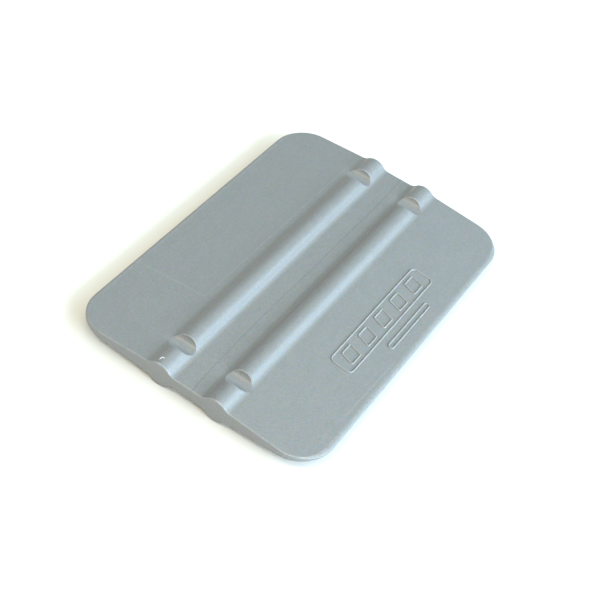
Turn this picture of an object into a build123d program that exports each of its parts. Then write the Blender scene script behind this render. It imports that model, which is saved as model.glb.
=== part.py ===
from build123d import *

import os

# Squeegee applicator card, one plastic moulding, in millimetres.
# X runs across the two ribs, towards the working edges. Y runs along the ribs.
# Z points up, and z = 0 is the table that the lower rib crests rest on.

# Card outline
card_length = 100.0
card_width = 71.0
corner_radius = 9.5

# Thickness: level web between the ribs, blades that taper from the ribs to the working edges
web_thickness = 3.5
root_thickness = 4.1
edge_thickness = 1.0

# Each rib is a round bar sunk in the card, so that it stands proud of both faces
rib_diameter = 7.5
rib_spacing = 16.4
web_foot_radius = 2.5
blade_foot_radius = 3.0
rib_foot_reach = 4.8

# The working edges roll over from the blade faces, and the whole rim is rounded a little
nose_width = 1.5
nose_drop = 0.25
rim_radius = 0.4

# Bending notches: round scoops across each rib near both ends of the card, on both faces
notch_from_end = 9.15
notch_radius = 2.5
notch_floor = 2.05
notch_reach = 5.5

# Raised outline mark on the upper face of one blade: a frame round slanted bars, and a long bar
ridge_width = 0.45
ridge_height = 0.2
ridge_root = 0.1
ridge_draft = 25.0
frame_x = 24.0
frame_y = 1.0
frame_length = 42.0
frame_width = 6.8
frame_corner_radius = 1.6
slant_count = 5
slant_pitch = 7.8
slant_length = 5.4
slant_width = 4.2
slant_angle = 65.0
bar_x = 30.2
bar_y = 4.0
bar_length = 20.0
bar_width = 1.9

# Tolerances that tell upright faces and edges from the rest
upright_face_lean = 0.001
upright_edge_rise = 0.999

# Worked out from the dimensions above
half_length = card_length / 2
half_width = card_width / 2
rib_radius = rib_diameter / 2
rib_x = rib_spacing / 2
foot_x = rib_x + rib_foot_reach
blade_slope = (root_thickness - edge_thickness) / 2 / (half_width - foot_x)
middle_plane = Plane.XY.offset(rib_radius)


def blade_height(x):
    """Height of the blade face above the card's middle plane, x from the centre line."""
    return edge_thickness / 2 + blade_slope * (half_width - x)


nose_start = (half_width - nose_width, blade_height(half_width - nose_width))
nose_end = (half_width, blade_height(half_width - nose_width) - nose_drop)
notch_y = half_length - notch_from_end
notch_centre = notch_floor + notch_radius

with BuildPart() as squeegee_card:
    # Section through the card: the outline of one quarter, mirrored twice, then the two bars
    with BuildSketch(Plane.XZ.shift_origin((0, 0, rib_radius))) as section:
        with BuildLine():
            Polyline(
                nose_end,
                (half_width, 0),
                (0, 0),
                (0, web_thickness / 2),
                (rib_x, web_thickness / 2),
                (rib_x, blade_height(rib_x)),
                nose_start,
            )
            TangentArc(nose_start, nose_end, tangent=(1, -blade_slope))
        make_face()
        mirror(about=Plane.XZ)
        mirror(about=Plane.YZ)
        with Locations((-rib_x, 0), (rib_x, 0)):
            Circle(rib_radius)
        feet = section.vertices().filter_by(lambda v: abs(abs(v.X) - rib_x) < rib_radius)
        fillet(feet.filter_by(lambda v: abs(v.X) < rib_x), web_foot_radius)
        feet = section.vertices().filter_by(lambda v: rib_x < abs(v.X) < foot_x)
        fillet(feet, blade_foot_radius)
    extrude(amount=half_length, both=True)

    # Plan outline with rounded corners, then the small radius all round the rim
    with BuildSketch(middle_plane):
        RectangleRounded(card_width, card_length, corner_radius)
    extrude(amount=rib_diameter, both=True, mode=Mode.INTERSECT)
    walls = squeegee_card.faces().filter_by(lambda f: abs(f.normal_at().Z) < upright_face_lean)
    rim = walls.edges().filter_by(lambda e: abs(e.tangent_at(0.5).Z) < upright_edge_rise)
    fillet(rim, rim_radius)

    # Bending notches
    for side_x in (-rib_x, rib_x):
        with BuildSketch(Plane.YZ.offset(side_x).shift_origin((side_x, 0, rib_radius))):
            with Locations((-notch_y, notch_centre), (notch_y, notch_centre)):
                Circle(notch_radius)
            with Locations((-notch_y, -notch_centre), (notch_y, -notch_centre)):
                Circle(notch_radius)
        extrude(amount=notch_reach, both=True, mode=Mode.SUBTRACT)

    # Raised outline mark, standing on the blade face: each outline is a thin drafted ridge
    mark_plane = Plane(
        origin=(frame_x, frame_y, rib_radius + blade_height(frame_x)),
        x_dir=(0, 1, 0),
        z_dir=(blade_slope, 0, 1),
    )
    with BuildSketch(mark_plane.offset(-ridge_root)):
        RectangleRounded(frame_length, frame_width, frame_corner_radius)
        with Locations((bar_y - frame_y, frame_x - bar_x)):
            SlotOverall(bar_length, bar_width)
        offset(amount=-ridge_width, mode=Mode.SUBTRACT)
    with BuildSketch(mark_plane.offset(-ridge_root)):
        with GridLocations(slant_pitch, 0, slant_count, 1):
            Trapezoid(slant_length, slant_width, slant_angle, 180 - slant_angle)
        offset(amount=-ridge_width, kind=Kind.INTERSECTION, mode=Mode.SUBTRACT)
    extrude(amount=ridge_root + ridge_height, taper=ridge_draft)

os.makedirs("parts", exist_ok=True)
squeegee_card.part.label = "squeegee_card"
export_step(squeegee_card.part, "parts/squeegee_card.step")
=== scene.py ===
import math

import bmesh
import bpy
import numpy as np
from mathutils import Matrix, Vector
from mathutils.geometry import delaunay_2d_cdt


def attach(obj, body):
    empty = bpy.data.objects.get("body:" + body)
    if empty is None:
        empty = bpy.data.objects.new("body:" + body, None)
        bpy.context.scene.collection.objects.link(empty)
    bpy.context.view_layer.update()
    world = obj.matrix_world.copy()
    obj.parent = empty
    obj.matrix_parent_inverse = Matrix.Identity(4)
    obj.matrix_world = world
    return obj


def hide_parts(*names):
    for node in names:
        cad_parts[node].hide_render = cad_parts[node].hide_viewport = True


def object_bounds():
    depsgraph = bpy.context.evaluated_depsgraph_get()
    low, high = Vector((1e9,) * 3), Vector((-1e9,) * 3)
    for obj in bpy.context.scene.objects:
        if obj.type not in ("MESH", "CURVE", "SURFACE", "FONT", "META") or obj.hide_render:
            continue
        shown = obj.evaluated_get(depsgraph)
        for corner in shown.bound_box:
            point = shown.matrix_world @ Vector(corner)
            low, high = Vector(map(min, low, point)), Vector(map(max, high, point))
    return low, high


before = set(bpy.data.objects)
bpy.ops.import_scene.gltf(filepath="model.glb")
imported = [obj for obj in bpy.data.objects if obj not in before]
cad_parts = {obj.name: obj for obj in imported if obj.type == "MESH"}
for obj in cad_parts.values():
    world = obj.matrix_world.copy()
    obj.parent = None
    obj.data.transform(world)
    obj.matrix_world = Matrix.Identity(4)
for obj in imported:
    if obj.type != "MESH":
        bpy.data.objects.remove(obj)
cad_low, cad_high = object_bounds()

# Everything about the card is in millimetres, and its mesh is scaled to metres when it is made.
MM = 0.001

# Card, from the frame: X across the ribs, Y along them, Z up, heights from the middle plane
HALF_WIDTH = (cad_high.x - cad_low.x) / 2 / MM
HALF_LENGTH = (cad_high.y - cad_low.y) / 2 / MM
RIB_RADIUS = (cad_high.z - cad_low.z) / 2 / MM
MIDDLE_HEIGHT = RIB_RADIUS + cad_low.z / MM
CORNER_RADIUS = 9.5

# Section: level web, round ribs with soft feet, blades that thin out to the working edges
WEB_HALF = 1.75
EDGE_HALF = 0.5
ROOT_HALF = 2.05
ROOT_X = 13.0
BLADE_SLOPE = (ROOT_HALF - EDGE_HALF) / (HALF_WIDTH - ROOT_X)
RIB_X = 8.2
WEB_FOOT_RADIUS = 2.5
BLADE_FOOT_RADIUS = 3.0

# Rim: how far the rounding reaches inwards and how far it drops, on the ends and on the working edges
END_ROUND = (0.4, 0.4)
SIDE_ROUND = (1.5, 0.55)
ROUND_STEPS = 8
WALL_STEPS = 4

# Columns of the grid, from the centre line outwards, with close ones at the crease where a notch begins
WEB_COLUMNS = (0.5, 1.2, 2.0, 2.8)
RISING_POINTS = 24
CREASE_REACH = 0.22
CREASE_COLUMNS = 9
COLUMN_GAP = 0.03
BLADE_COLUMNS = 6
CORNER_COLUMNS = 24

# Rows of the grid between the notches, beyond them, and how near the last two rows are to each other
INNER_ROWS = 15
OUTER_ROWS = 5
LAST_ROW_GAP = 0.12

# Bending notches: round scoops across the ribs
NOTCH_Y = HALF_LENGTH - 9.15
NOTCH_RADIUS = 2.5
NOTCH_FLAT = 0.1
NOTCH_FLOOR = 2.05
NOTCH_LIP = 0.2
NOTCH_BLEND = 0.15
NOTCH_MARGIN = 3.4
PROFILE_STEPS = 12
LIP_STEPS = 5
SHALLOW_STEP = 0.2
SHALLOW_SPREAD = 0.03

# Knit line, where the two flows of plastic met, along the web
KNIT_HALF_WIDTH = 0.09
KNIT_DEPTH = 0.03
KNIT_REACH = 3.4

# Raised outline mark on the right blade
RIDGE_WIDTH = 0.45
RIDGE_HEIGHT = 0.26
FRAME_X = 24.0
FRAME_Y = 1.0
FRAME_LENGTH = 42.0
FRAME_WIDTH = 6.8
FRAME_CORNER = 1.6
SLANT_COUNT = 5
SLANT_PITCH = 7.8
SLANT_LENGTH = 5.4
SLANT_WIDTH = 4.2
SLANT_ANGLE = math.radians(65)
SLANT_CORNER = 0.35
BAR_X = 30.2
BAR_Y = 4.0
BAR_LENGTH = 20.0
BAR_WIDTH = 1.9
MARK_MARGIN_X = 0.4
MARK_MARGIN_Y = 1.5
MARK_COLUMN = 40

# Section through a ridge: place across it, and share of its height
RIDGE_PROFILE = ((-1.0, 0.0), (-0.66, 0.7), (-0.35, 0.96), (0.0, 1.0), (0.35, 0.96), (0.66, 0.7), (1.0, 0.0))

# Burr on the near end of the left rib, as points (x, y)
BURR_PATH = (
    (-9.3, -48.95), (-9.34, -48.6), (-9.34, -48.25), (-9.28, -47.9), (-9.15, -47.66),
    (-8.94, -47.56), (-8.76, -47.6), (-8.62, -47.76), (-8.54, -48.0),
)
BURR_RADIUS = 0.13
BURR_SINK = 0.07
BURR_SIDES = 8

# Painted light in the plastic's colour: painted highlights ring by ring down the rim rounding, more or less
# of them on the working edges, rib ends and right corners, then on the ridges, on the burr, and on the floor
# and lip of a notch.
# Below nought it is painted shade, as up a notch's wall and on the lower rim.
RIM_PAINTED_LIGHT = (0.9, 1.0, 1.0, 0.7, 0.3, 0.1, 0.0, 0.0)
WORKING_EDGE_HIGHLIGHT = 0.6
RIB_END_HIGHLIGHT = 1.4
CORNER_HIGHLIGHT = 1.0
LOWER_RIM_SHADE = -2.8
RIDGE_HIGHLIGHT = 1.6
BURR_HIGHLIGHT = 11.0
FLOOR_HIGHLIGHT = 0.3
WALL_SHADE = -0.7
LIP_HIGHLIGHT = 3.4
FLOOR_HIGHLIGHT_REACH = 0.25
FULL_PAINT_STEP = 1.0

# Colours, and the thin witness lines of the mould inserts
PLASTIC_COLOUR = (0.2, 0.2, 0.2)
PAPER_COLOUR = (0.77, 0.735, 0.7)
WITNESS_HALF_WIDTH = 0.14
PAPER_ROUGHNESS = 0.9
SHARP_ANGLE = math.radians(35)

# Light from all round: its colour low down and high up, and the heights, as sines, that it turns between
HORIZON_COLOUR = (0.8, 0.82, 0.85)
SKY_COLOUR = (0.196, 0.385, 0.457)
HORIZON_FADE = (0.15, 0.45)

# Distance of the lights and size of the floor, in metres
LIGHT_DISTANCE = 1.2
FLOOR_SIZE = 8

# Camera, round the middle of the card
CAMERA_AZIMUTH = math.radians(23.35)
CAMERA_ELEVATION = math.radians(46.69)
CAMERA_ROLL = math.radians(14.02)
CAMERA_DISTANCE = 0.31503
CAMERA_AIM = (cad_low + cad_high) / 2 + Vector((0.00389, -0.00707, 0))
CAMERA_LENS = 74.10


# ---------------------------------------------------------------- section through the card

def blade_height(x):
    return EDGE_HALF + BLADE_SLOPE * (HALF_WIDTH - abs(x))


def arc(centre, radius, start, stop, steps):
    """Points along an arc of the section, both ends included, and the directions they lie in."""
    angles = np.linspace(start, stop, steps + 1)
    way = np.stack([np.cos(angles), np.sin(angles)], axis=1)
    return np.array(centre) + radius * way, way


def half_section():
    """Points (x, height) of the upper face and their normals, from the centre line to the blade."""
    rib = np.array((RIB_X, 0.0))
    rise = WEB_HALF + WEB_FOOT_RADIUS
    reach = math.sqrt((RIB_RADIUS + WEB_FOOT_RADIUS) ** 2 - rise ** 2)
    web_foot = rib + (-reach, rise)
    tilt = math.atan(BLADE_SLOPE)
    along = np.array((math.cos(tilt), -math.sin(tilt)))
    up = np.array((math.sin(tilt), math.cos(tilt)))
    rise = blade_height(RIB_X) * math.cos(tilt) + BLADE_FOOT_RADIUS
    reach = math.sqrt((RIB_RADIUS + BLADE_FOOT_RADIUS) ** 2 - rise ** 2)
    blade_foot = rib + reach * along + rise * up
    to_web = math.atan2(*(web_foot - rib)[::-1])
    to_blade = math.atan2(*(blade_foot - rib)[::-1])
    points, normals = [], []
    for centre, radius, start, stop, steps, side in (
        (web_foot, WEB_FOOT_RADIUS, -math.pi / 2, to_web - math.pi, 16, -1),
        (rib, RIB_RADIUS, to_web, to_blade, 40, 1),
        (blade_foot, BLADE_FOOT_RADIUS, to_blade - math.pi, -math.pi / 2 - tilt, 16, -1),
    ):
        run, way = arc(centre, radius, start, stop, steps)
        points.extend(run[1:] if points else run)
        normals.extend(side * (way[1:] if normals else way))
    return np.array(points), np.array(normals)


FOOT_POINTS, FOOT_NORMALS = half_section()


def upper_height(x):
    """Height of the upper face above the middle plane, with no notch, for an array of x."""
    across = np.abs(x)
    inner = np.interp(across, FOOT_POINTS[:, 0], FOOT_POINTS[:, 1])
    return np.where(across > FOOT_POINTS[-1, 0], blade_height(across), inner)


def upper_normal(x):
    """Unit normal (x part, height part) of the upper face, with no notch, for an array of x."""
    across = np.abs(x)
    blade = np.array((BLADE_SLOPE, 1.0)) / math.hypot(BLADE_SLOPE, 1.0)
    out = np.interp(across, FOOT_POINTS[:, 0], FOOT_NORMALS[:, 0])
    out = np.where(across > FOOT_POINTS[-1, 0], blade[0], out) * np.sign(x)
    return out, np.sqrt(1 - out ** 2)


# ---------------------------------------------------------------- grid of the upper face

def rim_round(turn):
    """Reach and drop of the rim rounding at a turn: 0 on the end, 90 degrees on the working edge."""
    share = turn / (math.pi / 2)
    share = (share * share * (3 - 2 * share)) ** 2
    return np.array(END_ROUND) * (1 - share) + np.array(SIDE_ROUND) * share


def column_stations():
    """The x of each column from the centre line outwards, the y of its end, and its turn round the corner."""
    crease = np.interp(NOTCH_FLOOR, FOOT_POINTS[:RISING_POINTS, 1], FOOT_POINTS[:RISING_POINTS, 0])
    fine = crease + np.linspace(-CREASE_REACH, CREASE_REACH, CREASE_COLUMNS)
    foot = FOOT_POINTS[:, 0]
    foot = foot[(foot < fine[0] - COLUMN_GAP) | (foot > fine[-1] + COLUMN_GAP)]
    corner_x = HALF_WIDTH - CORNER_RADIUS
    blade = np.linspace(FOOT_POINTS[-1, 0], corner_x, BLADE_COLUMNS + 1)[1:]
    web = np.array((KNIT_HALF_WIDTH, *WEB_COLUMNS))
    straight = np.sort(np.concatenate((web, foot, fine, blade)))
    turns = np.radians(np.linspace(0, 90, CORNER_COLUMNS + 1))[1:]
    reach = CORNER_RADIUS - np.array([rim_round(turn)[0] for turn in turns])
    x = np.concatenate((straight, corner_x + reach * np.sin(turns)))
    end = np.full(len(straight), HALF_LENGTH - END_ROUND[0])
    end = np.concatenate((end, HALF_LENGTH - CORNER_RADIUS + reach * np.cos(turns)))
    turn = np.concatenate((np.zeros(len(straight)), turns))
    mirror = slice(None, None, -1)
    x = np.concatenate((-x[mirror], (0.0,), x))
    end = np.concatenate((end[mirror], (HALF_LENGTH - END_ROUND[0],), end))
    turn = np.concatenate((turn[mirror], (0.0,), turn))
    return x, end, turn


def smooth_min(a, b, blend):
    gap = np.maximum(blend - np.abs(a - b), 0)
    return np.minimum(a, b) - gap * gap / (4 * blend)


def notch_side(step):
    """Distances from a notch's middle and heights above its floor, over half of it, for a step height."""
    slope = math.acos(1 - step / NOTCH_RADIUS)
    lip = min(NOTCH_LIP, step / 2)
    lip_run = lip * math.tan(slope / 2)
    arc_slope = math.acos(1 - (step - lip_run * math.sin(slope)) / NOTCH_RADIUS)
    bends = np.linspace(0, arc_slope, PROFILE_STEPS)
    lip_bends = np.linspace(slope, 0, LIP_STEPS + 1)[1:]
    rim_y = NOTCH_FLAT + NOTCH_RADIUS * math.sin(slope)
    wall_y = NOTCH_FLAT + NOTCH_RADIUS * np.sin(bends)
    lip_y = rim_y + lip_run - lip * np.sin(lip_bends)
    y = np.concatenate(((0,), wall_y, lip_y))
    z = np.concatenate(((0,), NOTCH_RADIUS * (1 - np.cos(bends)), step - lip * (1 - np.cos(lip_bends))))
    spread = SHALLOW_SPREAD * max(0, 1 - step / SHALLOW_STEP) ** 2
    return y + spread * np.arange(len(y)), z


def notch_wear(step):
    """Painted light over half a notch, from its middle outwards: painted highlights on its floor and lip,
    painted shade up its wall.
    """
    up = np.linspace(0, 1, PROFILE_STEPS)
    wall = FLOOR_HIGHLIGHT * np.clip(1 - up / FLOOR_HIGHLIGHT_REACH, 0, 1) + WALL_SHADE * up ** 2
    lip = LIP_HIGHLIGHT * np.sin(np.linspace(0, math.pi, LIP_STEPS + 1)[1:])
    return np.concatenate(((FLOOR_HIGHLIGHT,), wall, lip)) * min(1, step / FULL_PAINT_STEP)


def upper_grid():
    """Arrays X, Y, Z of the upper face, rows along Y, heights above the middle plane, and its painted
    highlights and shade.
    """
    x, end, turn = column_stations()
    top = upper_height(x)
    floor = smooth_min(top, np.full_like(top, NOTCH_FLOOR), NOTCH_BLEND)
    full = HALF_LENGTH - END_ROUND[0]
    inner = np.linspace(0, NOTCH_Y - NOTCH_MARGIN, INNER_ROWS)
    outer = np.linspace(NOTCH_Y + NOTCH_MARGIN, full, OUTER_ROWS)
    columns_y, columns_z, columns_wear = [], [], []
    for i in range(len(x)):
        away, rise = notch_side(top[i] - floor[i])
        notch_y = NOTCH_Y + np.concatenate((-away[:0:-1], away))
        notch_z = floor[i] + np.concatenate((rise[:0:-1], rise))
        half_y = np.concatenate((inner, notch_y, outer[:-1], (full - LAST_ROW_GAP, full)))
        half_z = np.full(len(half_y), top[i])
        half_z[len(inner):len(inner) + len(notch_z)] = notch_z
        # Painted highlights on the notch's floor and lip, painted shade up its wall.
        painted = notch_wear(top[i] - floor[i])
        half_wear = np.zeros(len(half_y))
        half_wear[len(inner):len(inner) + len(notch_z)] = np.concatenate((painted[:0:-1], painted))
        columns_y.append(np.concatenate((-half_y[:0:-1], half_y)) * end[i] / full)
        columns_z.append(np.concatenate((half_z[:0:-1], half_z)))
        columns_wear.append(np.concatenate((half_wear[:0:-1], half_wear)))
    grid_y = np.array(columns_y).T
    grid_z = np.array(columns_z).T
    grid_x = np.tile(x, (len(grid_y), 1))
    return grid_x, grid_y, grid_z, np.array(columns_wear).T, turn


def knit_path(y):
    """How far the knit line lies from the centre line."""
    near = np.clip(-(y + 30) / 20, 0, 1)
    return 0.75 + 0.25 * np.sin(y / 17.0) + 0.1 * np.sin(y / 5.3 + 1) + 0.7 * near ** 2


# ---------------------------------------------------------------- whole card

def ring(indices):
    """Quads between each loop of vertices and the next."""
    faces = []
    for upper, lower in zip(indices, indices[1:]):
        for b in range(len(upper)):
            c = (b + 1) % len(upper)
            faces.append((upper[b], upper[c], lower[c], lower[b]))
    return faces


def rim_loop(rows, columns):
    """Grid positions (row, column) once round the boundary."""
    loop = [(0, i) for i in range(columns)]
    loop += [(j, columns - 1) for j in range(1, rows)]
    loop += [(rows - 1, i) for i in range(columns - 2, -1, -1)]
    loop += [(j, 0) for j in range(rows - 2, 0, -1)]
    return loop


def build_card():
    grid_x, grid_y, grid_z, grid_wear, turn = upper_grid()
    rows, columns = grid_x.shape
    middle = columns // 2
    grid_x = grid_x + knit_path(grid_y) * np.clip(1 - np.abs(grid_x) / KNIT_REACH, 0, 1)
    upper_z = grid_z.copy()
    upper_z[:, middle] -= KNIT_DEPTH

    loop = rim_loop(rows, columns)
    normal_x, normal_z = upper_normal(grid_x[0])
    rim_turn = np.array([turn[i] if j in (0, rows - 1) else math.pi / 2 for j, i in loop])
    rim_x = np.array([grid_x[j, i] for j, i in loop])
    on_rib = np.maximum(0, 1 - np.abs(np.abs(rim_x) - RIB_X) / RIB_RADIUS)
    on_end = 1 - rim_turn / (math.pi / 2)
    # Painted highlights on the upper rim: full on the ends, less on the working edges, more on the rib ends
    # and right corners.
    rim_wear = WORKING_EDGE_HIGHLIGHT + (1 - WORKING_EDGE_HIGHLIGHT) * on_end + RIB_END_HIGHLIGHT * np.sqrt(on_rib)
    rim_wear += CORNER_HIGHLIGHT * np.sin(2 * rim_turn) * (rim_x > 0)
    on_knit = np.array([i == middle for j, i in loop], dtype=float)
    rings = []
    for k in range(1, ROUND_STEPS + 1):
        bend = math.pi / 2 * k / ROUND_STEPS
        one = []
        for j, i in loop:
            side = math.copysign(1, grid_x[j, i])
            if 0 < j < rows - 1:
                out, (reach, drop), lean = (side, 0.0), SIDE_ROUND, (0.0, 1.0)
            else:
                out = (side * math.sin(turn[i]), math.copysign(math.cos(turn[i]), grid_y[j, i]))
                reach, drop = rim_round(turn[i])
                lean = (normal_x[i], normal_z[i]) if turn[i] == 0 else (0.0, 1.0)
            down = drop * (1 - math.cos(bend))
            z = upper_z[j, i] if k < 3 else grid_z[j, i]
            one.append((
                grid_x[j, i] + out[0] * reach * math.sin(bend) - lean[0] * down,
                grid_y[j, i] + out[1] * reach * math.sin(bend),
                z - lean[1] * down,
            ))
        rings.append(np.array(one))

    verts = [np.stack([grid_x, grid_y, upper_z], axis=-1).reshape(-1, 3)]
    count = rows * columns
    loops = [[j * columns + i for j, i in loop]]
    knit = np.zeros((rows, columns))
    knit[:, middle] = 1
    wear, knit = [grid_wear.reshape(-1)], [knit.reshape(-1)]

    def add_loop(points, painted):
        nonlocal count
        verts.append(points)
        loops.append(list(range(count, count + len(points))))
        wear.append(painted)
        knit.append(on_knit)
        count += len(points)

    # The upper rim rings get the painted highlights.
    for one, painted in zip(rings, RIM_PAINTED_LIGHT):
        add_loop(one, painted * rim_wear)
    for k in range(1, WALL_STEPS):
        add_loop(rings[-1] * (1, 1, 1 - 2 * k / WALL_STEPS), np.zeros(len(loop)))
    # The lower rim rings on the ends get painted shade.
    for one, painted in zip(reversed(rings), reversed(RIM_PAINTED_LIGHT)):
        add_loop(one * (1, 1, -1), painted * LOWER_RIM_SHADE * on_end)
    lower_start = count
    verts.append(np.stack([grid_x, grid_y, -grid_z], axis=-1).reshape(-1, 3))
    count += rows * columns
    loops.append([lower_start + j * columns + i for j, i in loop])

    faces = ring(loops)
    hole = mark_hole(grid_x, grid_y)
    for j in range(rows - 1):
        for i in range(columns - 1):
            a, b = j * columns + i, j * columns + i + 1
            c, d = b + columns, a + columns
            faces.append((lower_start + d, lower_start + c, lower_start + b, lower_start + a))
            if not (hole[0] <= j < hole[1] and hole[2] <= i < hole[3]):
                faces.append((a, b, c, d))
    edge = [j * columns + i for j, i in hole_loop(hole)]
    wear.append(grid_wear.reshape(-1))
    points = np.concatenate(verts)
    mark_points, mark_wear, mark_faces = mark_patch(points, edge, count)
    burr_points, burr_faces = gate_burr(count + len(mark_points))
    faces += mark_faces + burr_faces
    points = np.concatenate((points, mark_points, burr_points))
    # The burr gets a strong painted highlight.
    wear = np.concatenate(wear + [mark_wear, np.full(len(burr_points), BURR_HIGHLIGHT)])
    knit = np.concatenate(knit)
    return points, faces, wear, np.pad(knit, (0, len(points) - len(knit)))


# ---------------------------------------------------------------- raised outline mark

def mark_hole(grid_x, grid_y):
    """Rows and columns of the grid that the mark's own faces replace."""
    middle = grid_x.shape[1] // 2
    line = grid_y[:, middle + MARK_COLUMN]
    low = np.searchsorted(line, FRAME_Y - FRAME_LENGTH / 2 - MARK_MARGIN_Y) - 1
    high = np.searchsorted(line, FRAME_Y + FRAME_LENGTH / 2 + MARK_MARGIN_Y)
    left = np.searchsorted(grid_x[0], FRAME_X - FRAME_WIDTH / 2 - MARK_MARGIN_X) - 1
    right = np.searchsorted(grid_x[0], BAR_X + BAR_WIDTH / 2 + MARK_MARGIN_X)
    return low, high, left, right


def hole_loop(hole):
    low, high, left, right = hole
    loop = [(low, i) for i in range(left, right)]
    loop += [(j, right) for j in range(low, high)]
    loop += [(high, i) for i in range(right, left, -1)]
    loop += [(j, left) for j in range(high, low, -1)]
    return loop


def rounded_outline(corners, radius, shift, steps=6):
    """Closed outline with round corners, moved outwards by shift. Corners run counter-clockwise."""
    points = []
    for k in range(len(corners)):
        here = np.array(corners[k])
        back = np.array(corners[k - 1]) - here
        ahead = np.array(corners[(k + 1) % len(corners)]) - here
        back /= np.linalg.norm(back)
        ahead /= np.linalg.norm(ahead)
        half = math.acos(np.clip(back @ ahead, -1, 1)) / 2
        inward = (back + ahead) / np.linalg.norm(back + ahead)
        centre = here + inward * radius / math.sin(half)
        start = math.atan2(back[0], -back[1])
        stop = math.atan2(-ahead[0], ahead[1])
        while stop < start:
            stop += 2 * math.pi
        for angle in np.linspace(start, stop, steps + 1):
            points.append(centre + (radius + shift) * np.array((math.cos(angle), math.sin(angle))))
    return np.array(points)


def box_corners(x, y, half_x, half_y, lean=0.0):
    return [(x - half_x, y - half_y + lean), (x + half_x, y - half_y - lean),
            (x + half_x, y + half_y - lean), (x - half_x, y + half_y + lean)]


def mark_outlines():
    """Corners and corner radius of each closed ridge, along its middle."""
    inset = RIDGE_WIDTH / 2
    frame_ring = box_corners(FRAME_X, FRAME_Y, FRAME_WIDTH / 2 - inset, FRAME_LENGTH / 2 - inset)
    bar_ring = box_corners(BAR_X, BAR_Y, BAR_WIDTH / 2 - inset, BAR_LENGTH / 2 - inset)
    outlines = [(frame_ring, FRAME_CORNER - inset), (bar_ring, BAR_WIDTH / 2 - inset - 0.001)]
    lean = SLANT_WIDTH / 2 / math.tan(SLANT_ANGLE) / 2
    for k in range(SLANT_COUNT):
        y = FRAME_Y + (k - (SLANT_COUNT - 1) / 2) * SLANT_PITCH
        slant_ring = box_corners(FRAME_X, y, SLANT_WIDTH / 2 - inset, SLANT_LENGTH / 2 - inset - lean, lean)
        outlines.append((slant_ring, SLANT_CORNER))
    return outlines


def mark_patch(points, edge, count):
    """Blade face round the ridges, and the ridges themselves. edge is the hole's loop of vertex numbers."""
    flat = [Vector(points[v][:2]) for v in edge]
    shapes = [list(range(len(edge)))]
    new_points, new_wear, faces = [], [], []
    number = {k: v for k, v in enumerate(edge)}
    ridges = []
    for corners, radius in mark_outlines():
        loops = []
        for place, height in RIDGE_PROFILE:
            outline = rounded_outline(corners, radius, place * RIDGE_WIDTH / 2)
            loop = []
            for x, y in outline:
                loop.append(count + len(new_points))
                new_points.append((x, y, blade_height(x) + height * RIDGE_HEIGHT))
                # Painted highlight along the ridge tops.
                new_wear.append(RIDGE_HIGHLIGHT * height ** 2)
                if height == 0:
                    number[len(flat)] = loop[-1]
                    flat.append(Vector((x, y)))
            loops.append(loop)
            if height == 0:
                shapes.append(list(range(len(flat) - len(loop), len(flat))))
        faces += ring(loops)
        ridges.append((len(shapes) - 2, len(shapes) - 1))
    out = delaunay_2d_cdt(flat, [], shapes, 1, 1e-6)
    if len(out[0]) != len(flat):
        raise ValueError(f"the mark's outlines cross: {len(out[0])} points from {len(flat)}")
    for face, origins in zip(out[2], out[5]):
        under_ridge = any(outer in origins and inner not in origins for inner, outer in ridges)
        if not under_ridge:
            faces.append(tuple(number[out[3][v][0]] for v in face))
    return np.array(new_points), np.array(new_wear), faces


# ---------------------------------------------------------------- burr left where the plastic went in

def gate_burr(count):
    """A thin bent thread on the end of the left rib. count is the number of points before it."""
    path = np.array([(x, y, math.sqrt(RIB_RADIUS ** 2 - (x + RIB_X) ** 2) - BURR_SINK) for x, y in BURR_PATH])
    points, faces, loops = [], [], []
    for k, here in enumerate(path):
        ahead = path[min(k + 1, len(path) - 1)] - path[max(k - 1, 0)]
        ahead /= np.linalg.norm(ahead)
        side = np.cross(ahead, (0, 0, 1))
        side /= np.linalg.norm(side)
        rise = np.cross(side, ahead)
        size = BURR_RADIUS * math.sin(math.pi * (k + 0.6) / (len(path) + 0.2)) ** 0.5
        loops.append([])
        for angle in np.arange(BURR_SIDES) * 2 * math.pi / BURR_SIDES:
            loops[-1].append(count + len(points))
            points.append(here + size * (math.cos(angle) * side + math.sin(angle) * rise))
    faces += ring(loops)
    faces += [tuple(reversed(loops[0])), tuple(loops[-1])]
    return np.array(points), faces


# ---------------------------------------------------------------- pieces

def make_piece(name, points, faces, **values):
    """An object of the points and faces. Each of the values is one number a point, for its material."""
    mesh = bpy.data.meshes.new(name)
    place = (np.asarray(points) + (0, 0, MIDDLE_HEIGHT)) * MM
    mesh.from_pydata(place.tolist(), [], faces)
    for key, numbers in values.items():
        mesh.attributes.new(key, "FLOAT", "POINT").data.foreach_set("value", numbers)
    bm = bmesh.new()
    bm.from_mesh(mesh)
    bmesh.ops.recalc_face_normals(bm, faces=bm.faces)
    bm.to_mesh(mesh)
    bm.free()
    mesh.shade_smooth()
    mesh.set_sharp_from_angle(angle=SHARP_ANGLE)
    piece = bpy.data.objects.new(name, mesh)
    bpy.context.scene.collection.objects.link(piece)
    return piece


def add_camera():
    back = Vector((
        math.sin(CAMERA_AZIMUTH) * math.cos(CAMERA_ELEVATION),
        -math.cos(CAMERA_AZIMUTH) * math.cos(CAMERA_ELEVATION),
        math.sin(CAMERA_ELEVATION),
    ))
    level = Vector((0, 0, 1)).cross(back).normalized()
    rise = back.cross(level)
    right = level * math.cos(CAMERA_ROLL) + rise * math.sin(CAMERA_ROLL)
    up = rise * math.cos(CAMERA_ROLL) - level * math.sin(CAMERA_ROLL)
    data = bpy.data.cameras.new("camera")
    data.lens = CAMERA_LENS
    data.sensor_width = 36
    data.clip_start = 0.01
    camera = bpy.data.objects.new("camera", data)
    turn = Matrix((right, up, back)).transposed()
    camera.matrix_world = Matrix.LocRotScale(CAMERA_AIM + back * CAMERA_DISTANCE, turn, None)
    bpy.context.scene.collection.objects.link(camera)
    bpy.context.scene.camera = camera


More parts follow.
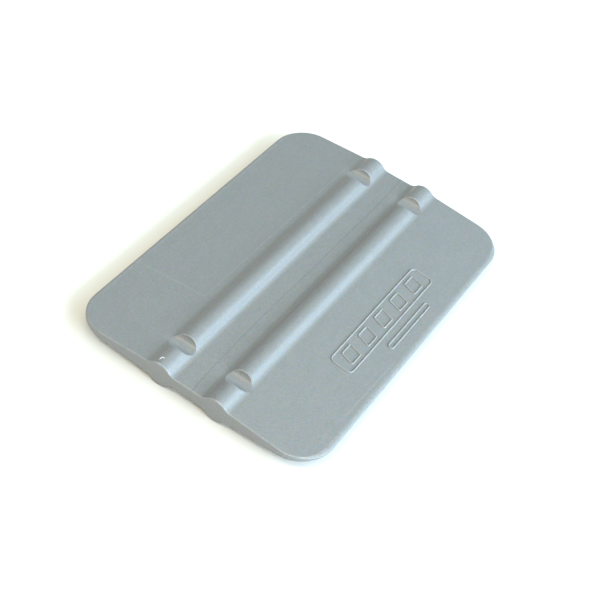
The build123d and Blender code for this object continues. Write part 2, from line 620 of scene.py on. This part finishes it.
def add_area_light(name, azimuth, elevation, distance, size, power, colour):
    """Azimuth 0 is +X and 90 is +Y."""
    place = distance * Vector((
        math.cos(math.radians(azimuth)) * math.cos(math.radians(elevation)),
        math.sin(math.radians(azimuth)) * math.cos(math.radians(elevation)),
        math.sin(math.radians(elevation)),
    ))
    data = bpy.data.lights.new(name, "AREA")
    data.shape = "RECTANGLE"
    data.size, data.size_y = size
    data.energy = power
    data.color = colour
    lamp = bpy.data.objects.new(name, data)
    lamp.location = place
    lamp.rotation_mode = "QUATERNION"
    lamp.rotation_quaternion = (-place).to_track_quat("-Z", "Y")
    bpy.context.scene.collection.objects.link(lamp)


# ---------------------------------------------------------------- materials

class Graph:
    """The nodes of one material or world, with short calls that add to them."""

    def __init__(self, owner, shader):
        owner.use_nodes = True
        self.owner = owner
        self.tree = owner.node_tree
        self.shader = self.tree.nodes[shader]

    def put(self, socket, value):
        if isinstance(value, bpy.types.NodeSocket):
            self.tree.links.new(value, socket)
        else:
            socket.default_value = value

    def node(self, kind, settings=None, **inputs):
        node = self.tree.nodes.new(kind)
        for key, value in (settings or {}).items():
            setattr(node, key, value)
        for key, value in inputs.items():
            self.put(node.inputs[key], value)
        return node

    def math(self, operation, *values):
        node = self.node("ShaderNodeMath", {"operation": operation})
        for socket, value in zip(node.inputs, values):
            self.put(socket, value)
        return node.outputs[0]

    def vector(self, operation, *values):
        node = self.node("ShaderNodeVectorMath", {"operation": operation})
        for socket, value in zip(node.inputs, values):
            self.put(socket, value)
        return node.outputs[0]

    def noise(self, place, scale, detail=2.0):
        """Noise about nought, with features about 1 / scale across."""
        node = self.node("ShaderNodeTexNoise", Vector=place, Scale=scale, Detail=detail)
        return self.math("SUBTRACT", node.outputs["Factor" if "Factor" in node.outputs else "Fac"], 0.5)

    def ramp(self, value, low, high):
        """0 at low, 1 at high, straight in between."""
        node = self.node("ShaderNodeMapRange", Value=value)
        node.inputs["From Min"].default_value = low
        node.inputs["From Max"].default_value = high
        return node.outputs["Result"]

    def line(self, off, along, start, stop, half_width):
        """A thin line where off is nought, from start to stop along it, with soft ends."""
        across = self.ramp(self.math("ABSOLUTE", off), half_width, 0.0)
        begun = self.ramp(along, start, start + 1.5)
        going = self.ramp(along, stop, stop - 1.5)
        return self.math("MULTIPLY", across, self.math("MULTIPLY", begun, going))

    def specks(self, place, scale, size, share):
        """Round dots, size across, in the given share of the cells."""
        cells = self.node("ShaderNodeTexVoronoi", Vector=place, Scale=scale)
        dots = self.ramp(cells.outputs["Distance"], size * scale, 0.0)
        picked = self.node("ShaderNodeSeparateColor", Color=cells.outputs["Color"]).outputs[0]
        return self.math("MULTIPLY", dots, self.math("LESS_THAN", picked, share))


def plastic_material():
    graph = Graph(bpy.data.materials.new("grey_plastic"), "Principled BSDF")
    place = graph.vector("SCALE", graph.node("ShaderNodeTexCoord").outputs["Object"])
    place.node.inputs["Scale"].default_value = 1 / MM
    parts = graph.node("ShaderNodeSeparateXYZ", Vector=place)
    x, y = parts.outputs["X"], parts.outputs["Y"]
    wear = graph.node("ShaderNodeAttribute", {"attribute_name": "wear"}).outputs["Fac"]
    knit = graph.node("ShaderNodeAttribute", {"attribute_name": "knit"}).outputs["Fac"]

    grain = graph.noise(place, 3.2)
    cloud = graph.noise(place, 0.3, 3.0)
    drawn = graph.noise(graph.vector("MULTIPLY", place, (1.0, 0.08, 1.0)), 0.9, 3.0)
    hairs = graph.noise(graph.vector("MULTIPLY", place, (5.0, 0.12, 1.0)), 1.0, 1.0)
    pale_dots = graph.specks(place, 0.2, 0.16, 0.4)
    dark_dots = graph.specks(graph.vector("ADD", place, (31.0, 17.0, 5.0)), 0.16, 0.14, 0.3)

    left_line = graph.math("SUBTRACT", x, graph.math("MULTIPLY_ADD", y, 0.009, -13.9))
    cross_line = graph.math("SUBTRACT", y, graph.math("MULTIPLY_ADD", x, 0.03, -23.7))
    right_line = graph.math("SUBTRACT", x, graph.math("MULTIPLY_ADD", y, 0.03, 33.75))
    witness = graph.line(left_line, y, -24.8, 43.0, WITNESS_HALF_WIDTH)
    witness = graph.math("MAXIMUM", witness, graph.line(cross_line, x, -33.0, -13.4, WITNESS_HALF_WIDTH))
    witness = graph.math("MAXIMUM", witness, graph.line(right_line, y, -32.0, -8.0, WITNESS_HALF_WIDTH))

    shade = graph.math("MULTIPLY_ADD", grain, 0.42, 1.0)
    shade = graph.math("MULTIPLY_ADD", cloud, 0.09, shade)
    shade = graph.math("MULTIPLY_ADD", drawn, 0.07, shade)
    shade = graph.math("MULTIPLY_ADD", graph.ramp(hairs, 0.2, 0.3), 0.07, shade)
    shade = graph.math("MULTIPLY_ADD", witness, 0.3, shade)
    shade = graph.math("MULTIPLY_ADD", pale_dots, 0.45, shade)
    shade = graph.math("MULTIPLY_ADD", dark_dots, -0.3, shade)
    shade = graph.math("MULTIPLY_ADD", knit, -0.45, shade)
    # Painted highlights and painted shade from the point attribute, made patchy by noise, lighten or darken
    # the colour.
    patchy = graph.math("MULTIPLY_ADD", graph.noise(place, 1.1), 0.6, 0.22)
    shade = graph.math("MULTIPLY_ADD", wear, patchy, shade)

    tint = graph.node("ShaderNodeTexNoise", Vector=place, Scale=1.9, Detail=1.0).outputs["Color"]
    tint = graph.vector("MULTIPLY_ADD", tint, (0.55, 0.25, 0.6), (0.725, 0.875, 0.7))
    colour = graph.vector("MULTIPLY", tint, PLASTIC_COLOUR)
    colour = graph.vector("SCALE", colour)
    graph.put(colour.node.inputs["Scale"], shade)
    graph.put(graph.shader.inputs["Base Color"], colour)

    roughness = graph.math("MULTIPLY_ADD", cloud, 0.12, 0.38)
    roughness = graph.math("MULTIPLY_ADD", grain, 0.08, roughness)
    graph.put(graph.shader.inputs["Roughness"], roughness)

    relief = graph.math("MULTIPLY_ADD", graph.noise(place, 0.12), 2.0, graph.noise(place, 2.6))
    relief = graph.math("MULTIPLY_ADD", witness, 0.5, relief)
    bump = graph.node("ShaderNodeBump", Strength=0.5, Distance=0.012 * MM, Height=relief)
    graph.put(graph.shader.inputs["Normal"], bump.outputs["Normal"])
    return graph.owner


def paper_material():
    graph = Graph(bpy.data.materials.new("paper"), "Principled BSDF")
    graph.put(graph.shader.inputs["Base Color"], (*PAPER_COLOUR, 1))
    graph.put(graph.shader.inputs["Roughness"], PAPER_ROUGHNESS)
    return graph.owner


def studio_world():
    """Soft light from all round, pale at the horizon and bluer above."""
    graph = Graph(bpy.data.worlds.new("studio"), "Background")
    way = graph.node("ShaderNodeTexCoord").outputs["Generated"]
    height = graph.ramp(graph.node("ShaderNodeSeparateXYZ", Vector=way).outputs["Z"], *HORIZON_FADE)
    colour = graph.vector("MULTIPLY_ADD", height, Vector(SKY_COLOUR) - Vector(HORIZON_COLOUR), HORIZON_COLOUR)
    graph.put(graph.shader.inputs["Color"], colour)
    return graph.owner


add_camera()
bpy.context.scene.world = studio_world()
add_area_light("window", -2, 22, LIGHT_DISTANCE, (1.1, 0.6), 33.7, (0.644, 0.834, 1.0))
add_area_light("window_far", 40, 36, LIGHT_DISTANCE, (0.6, 0.6), 7.4, (0.618, 0.832, 1.0))
add_area_light("lamp", 237, 60, LIGHT_DISTANCE, (0.15, 0.15), 3.6, (1.0, 0.889, 0.75))
add_area_light("wall_near", 268, 40, LIGHT_DISTANCE, (1.0, 1.0), 5.5, (1.0, 0.805, 0.469))
add_area_light("ceiling", 90, 86, LIGHT_DISTANCE, (1.2, 1.2), 6.0, (1.0, 0.803, 0.477))
add_area_light("wall_left", 180, 25, LIGHT_DISTANCE, (0.8, 0.8), 1.8, (0.5, 0.65, 1.0))

bpy.ops.mesh.primitive_plane_add(size=FLOOR_SIZE, location=(0, 0, cad_low.z))
floor = bpy.context.object
floor.name = "floor"
floor.data.materials.append(paper_material())

points, faces, wear, knit = build_card()
card = make_piece("squeegee_card_moulding", points, faces, wear=wear, knit=knit)
card.data.materials.append(plastic_material())
weights = card.modifiers.new("even_normals", "WEIGHTED_NORMAL")
weights.keep_sharp = True
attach(card, "root")
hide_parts("squeegee_card")

bpy.context.scene.view_settings.view_transform = "Standard"
